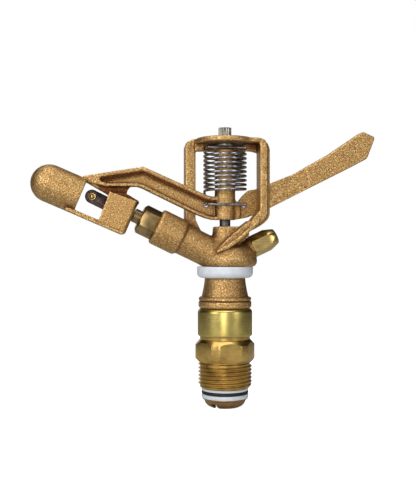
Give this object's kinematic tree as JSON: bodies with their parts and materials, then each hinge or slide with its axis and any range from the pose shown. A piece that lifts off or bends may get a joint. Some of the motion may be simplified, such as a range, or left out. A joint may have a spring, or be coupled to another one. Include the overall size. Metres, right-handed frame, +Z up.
{
  "type": "impact sprinkler",
  "caption": "Cast bronze impact sprinkler: threaded inlet, sprung bearing, bridged body, angled main and rear nozzles, and a spring-returned drive arm with a spoon.",
  "frame": {"origin": "centre of the inlet thread's shoulder, under the hex", "axes": "+Z up along the turning axis, -X towards the main nozzle and the spoon, -Y towards the open side of the arm's channel"},
  "size_m": [0.2153, 0.037, 0.1724],
  "materials": {
    "cast_bronze": "sand-cast, satin",
    "machined_brass": "machined",
    "turned_bronze": "machined",
    "sleeve_brass": "polished",
    "nozzle_bronze": "machined, dull",
    "white_nylon": "satin",
    "black_rubber": "matte",
    "spring_steel": "bright drawn wire",
    "pin_steel": "dull plated",
    "dark_strip": "blackened"
  },
  "bodies": {
    "riser_fitting": {"threaded_nipple": "machined_brass"},
    "spring_seat": {"seat_washer": "spring_steel"},
    "head": {"inlet_tube": "turned_bronze", "lower_nylon_washer": "white_nylon", "rubber_washer": "black_rubber", "upper_nylon_washer": "white_nylon", "bearing_spring": "spring_steel", "dust_sleeve": "sleeve_brass", "body_casting": "cast_bronze", "collar_ring": "white_nylon", "stream_straightener": "white_nylon", "main_nozzle": "nozzle_bronze", "rear_nozzle": "machined_brass", "rear_seal": "black_rubber", "fulcrum_pin": "pin_steel", "hub_spacer": "pin_steel", "steel_hub_washer": "pin_steel"},
    "drive_arm": {"arm_casting": "cast_bronze", "lower_bush": "white_nylon", "upper_bush": "white_nylon", "nylon_hub_washer": "white_nylon", "arm_spring": "spring_steel", "vane_strap": "dark_strip", "vane_rivet": "machined_brass"}
  },
  "joints": [
    {"name": "head_spin", "type": "hinge", "parent": "riser_fitting", "child": "spring_seat", "pos_m": [0, 0, 0], "axis": [0, 0, 1], "continuous": true},
    {"name": "head_press", "type": "slide", "parent": "spring_seat", "child": "head", "axis": [0, 0, 1], "range_m": [-0.0015, 0], "stiffness_N_per_m": 4000, "springref_m": 0.01, "deforming": ["bearing_spring"]},
    {"name": "arm_swing", "type": "hinge", "parent": "head", "child": "drive_arm", "pos_m": [0, 0, 0.0869], "axis": [0, 0, 1], "range_deg": [0, 110], "stiffness_Nm_per_rad": 0.03, "springref_deg": -34.38, "deforming": ["arm_spring"]}
  ]
}
